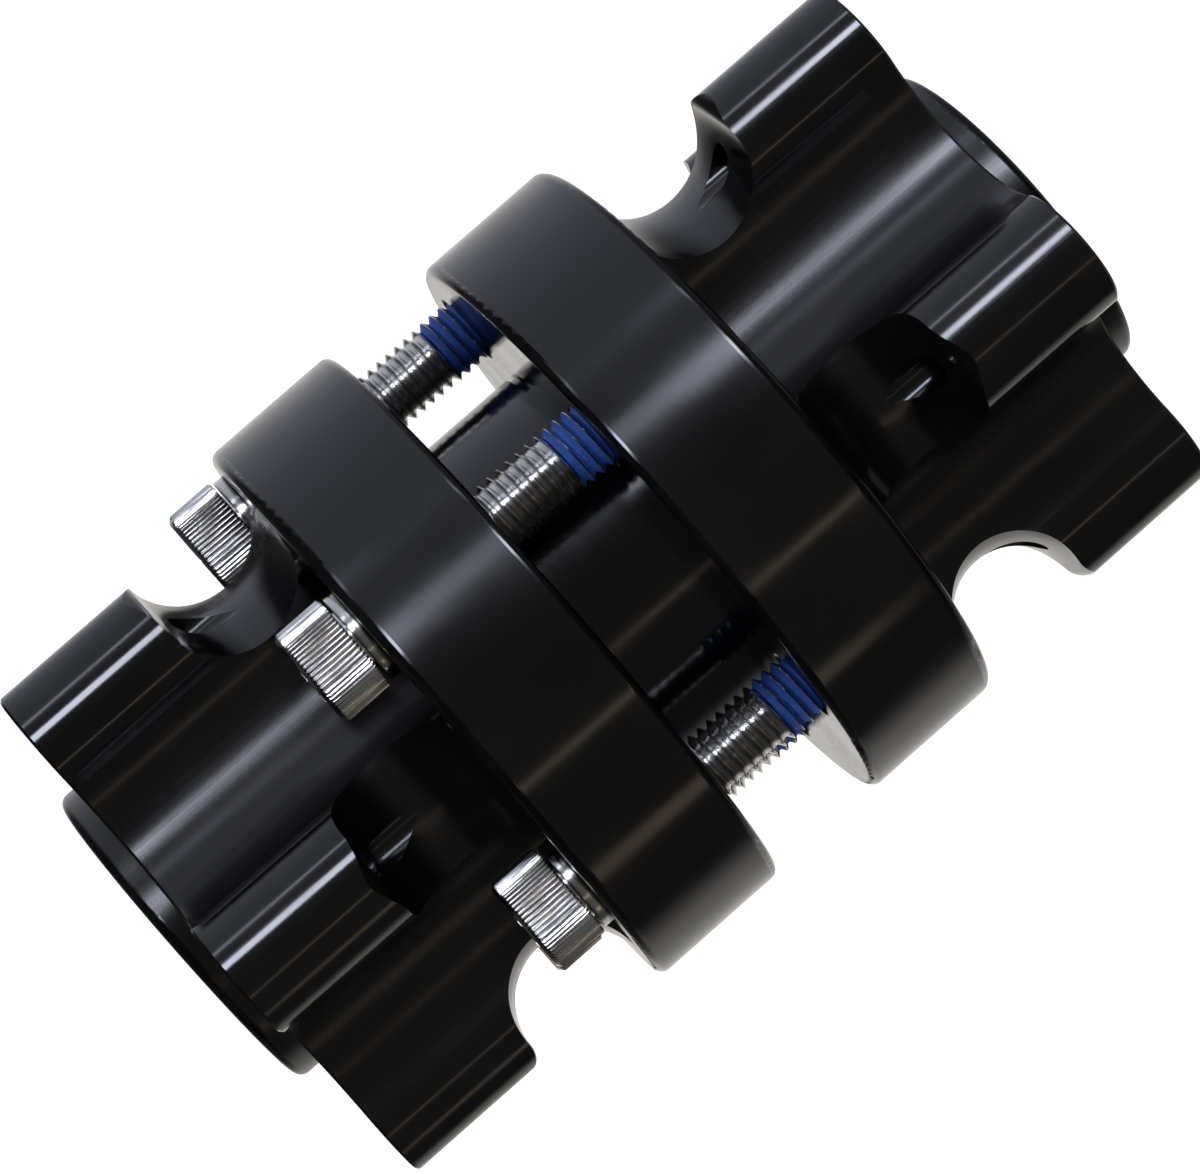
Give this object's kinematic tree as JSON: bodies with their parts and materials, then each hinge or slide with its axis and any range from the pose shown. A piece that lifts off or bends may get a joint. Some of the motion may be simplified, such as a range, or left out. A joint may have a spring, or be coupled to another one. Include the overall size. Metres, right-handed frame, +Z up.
{
  "type": "two-piece flanged hub coupling",
  "caption": "Black two-piece flanged hub coupling with lobed barrels, a centring spigot, clamp screws across the flange gap and a sealed bearing in each boss.",
  "frame": {"origin": "centre of the lower boss's end face, on the coupling's axis", "axes": "+Z up the coupling's axis from the half with the screw heads to the tapped half; one lobe of each half points to -Y"},
  "size_m": [0.092, 0.092, 0.1492],
  "materials": {
    "anodised_black": "gloss black anodised, fine turned grain",
    "zinc_screw": "bright zinc plate, knurled",
    "zinc_washer": "bright zinc plate",
    "patch_blue": "dry thread-locking patch, matte",
    "bearing_steel": "ground bearing steel",
    "cage_steel": "pressed steel",
    "seal_rubber": "moulded nitrile",
    "spring_steel": "phosphated",
    "spacer_aluminium": "turned"
  },
  "bodies": {
    "lower_half": {"lower_hub": "anodised_black", "lower_bearing_outer_ring": "bearing_steel", "lower_bearing_outboard_seal": "seal_rubber", "lower_bearing_inboard_seal": "seal_rubber", "lower_retaining_ring": "spring_steel", "lock_washer_1": "zinc_washer", "lock_washer_2": "zinc_washer", "lock_washer_3": "zinc_washer", "lock_washer_4": "zinc_washer", "lock_washer_5": "zinc_washer"},
    "upper_half": {"upper_hub": "anodised_black", "upper_bearing_outer_ring": "bearing_steel", "upper_bearing_outboard_seal": "seal_rubber", "upper_bearing_inboard_seal": "seal_rubber", "upper_retaining_ring": "spring_steel"},
    "screw_1": {"clamp_screw_1": "zinc_screw", "thread_patch_1": "patch_blue"},
    "screw_2": {"clamp_screw_2": "zinc_screw", "thread_patch_2": "patch_blue"},
    "screw_3": {"clamp_screw_3": "zinc_screw", "thread_patch_3": "patch_blue"},
    "screw_4": {"clamp_screw_4": "zinc_screw", "thread_patch_4": "patch_blue"},
    "screw_5": {"clamp_screw_5": "zinc_screw", "thread_patch_5": "patch_blue"},
    "lower_race": {"lower_bearing_inner_ring": "bearing_steel", "spacer_tube": "spacer_aluminium"},
    "lower_cage": {"lower_bearing_balls": "bearing_steel", "lower_bearing_cage": "cage_steel"},
    "upper_race": {"upper_bearing_inner_ring": "bearing_steel"},
    "upper_cage": {"upper_bearing_balls": "bearing_steel", "upper_bearing_cage": "cage_steel"}
  },
  "joints": [
    {"name": "halves_slide", "type": "slide", "parent": "lower_half", "child": "upper_half", "axis": [0, 0, 1], "range_m": [-0.014, 0]},
    {"name": "screw_1_turn", "type": "hinge", "parent": "lower_half", "child": "screw_1", "pos_m": [0.02157, -0.02969, 0.0428], "axis": [0, 0, 1], "range_deg": [0, 3176]},
    {"name": "screw_2_turn", "type": "hinge", "parent": "lower_half", "child": "screw_2", "pos_m": [0.0349, 0.01134, 0.0428], "axis": [0, 0, 1], "range_deg": [0, 3176]},
    {"name": "screw_3_turn", "type": "hinge", "parent": "lower_half", "child": "screw_3", "pos_m": [0, 0.0367, 0.0428], "axis": [0, 0, 1], "range_deg": [0, 3176]},
    {"name": "screw_4_turn", "type": "hinge", "parent": "lower_half", "child": "screw_4", "pos_m": [-0.0349, 0.01134, 0.0428], "axis": [0, 0, 1], "range_deg": [0, 3176]},
    {"name": "screw_5_turn", "type": "hinge", "parent": "lower_half", "child": "screw_5", "pos_m": [-0.02157, -0.02969, 0.0428], "axis": [0, 0, 1], "range_deg": [0, 3176]},
    {"name": "lower_race_spin", "type": "hinge", "parent": "lower_half", "child": "lower_race", "pos_m": [0, 0, 0.009], "axis": [0, 0, 1], "continuous": true},
    {"name": "lower_cage_spin", "type": "hinge", "parent": "lower_half", "child": "lower_cage", "pos_m": [0, 0, 0.009], "axis": [0, 0, 1], "continuous": true},
    {"name": "upper_race_spin", "type": "hinge", "parent": "upper_half", "child": "upper_race", "pos_m": [0, 0, 0.1402], "axis": [0, 0, 1], "continuous": true},
    {"name": "upper_cage_spin", "type": "hinge", "parent": "upper_half", "child": "upper_cage", "pos_m": [0, 0, 0.1402], "axis": [0, 0, 1], "continuous": true}
  ],
  "couplings": [
    {"joint": "screw_1_turn", "follows": "halves_slide", "rad_per_m": -3957.9},
    {"joint": "screw_2_turn", "follows": "halves_slide", "rad_per_m": -3957.9},
    {"joint": "screw_3_turn", "follows": "halves_slide", "rad_per_m": -3957.9},
    {"joint": "screw_4_turn", "follows": "halves_slide", "rad_per_m": -3957.9},
    {"joint": "screw_5_turn", "follows": "halves_slide", "rad_per_m": -3957.9},
    {"joint": "lower_cage_spin", "follows": "lower_race_spin", "ratio": 0.388},
    {"joint": "upper_cage_spin", "follows": "upper_race_spin", "ratio": 0.388}
  ]
}
